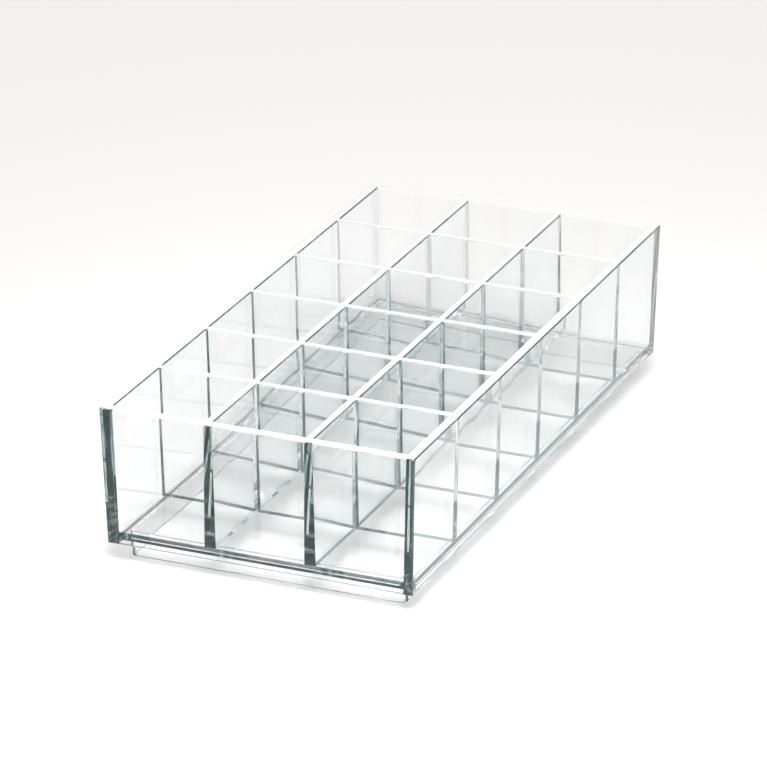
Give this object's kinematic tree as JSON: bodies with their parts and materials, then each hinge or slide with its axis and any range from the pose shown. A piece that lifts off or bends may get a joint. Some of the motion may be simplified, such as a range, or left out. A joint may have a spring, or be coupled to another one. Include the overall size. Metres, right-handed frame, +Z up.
{
  "type": "divided cosmetics tray",
  "caption": "Open clear plastic tray divided by flush upright sheets into nearly square compartments for lipstick tubes, on a low set-in foot.",
  "frame": {"origin": "centre of the foot's underside, on the surface that the tray stands on", "axes": "+X across the short front side to the right, +Y from the front wall to the back wall, +Z up"},
  "size_m": [0.09, 0.1824, 0.0443],
  "materials": {
    "clear_acrylic": "clear, polished, faint blue-green tint that shows at the sheet edges"
  },
  "bodies": {
    "root": {"base_plate": "clear_acrylic", "front_wall": "clear_acrylic", "back_wall": "clear_acrylic", "left_wall": "clear_acrylic", "right_wall": "clear_acrylic", "long_divider_1": "clear_acrylic", "long_divider_2": "clear_acrylic", "cross_panel_1_left": "clear_acrylic", "cross_panel_1_middle": "clear_acrylic", "cross_panel_1_right": "clear_acrylic", "cross_panel_2_left": "clear_acrylic", "cross_panel_2_middle": "clear_acrylic", "cross_panel_2_right": "clear_acrylic", "cross_panel_3_left": "clear_acrylic", "cross_panel_3_middle": "clear_acrylic", "cross_panel_3_right": "clear_acrylic", "cross_panel_4_left": "clear_acrylic", "cross_panel_4_middle": "clear_acrylic", "cross_panel_4_right": "clear_acrylic", "cross_panel_5_left": "clear_acrylic", "cross_panel_5_middle": "clear_acrylic", "cross_panel_5_right": "clear_acrylic", "foot_ring": "clear_acrylic"}
  },
  "joints": []
}
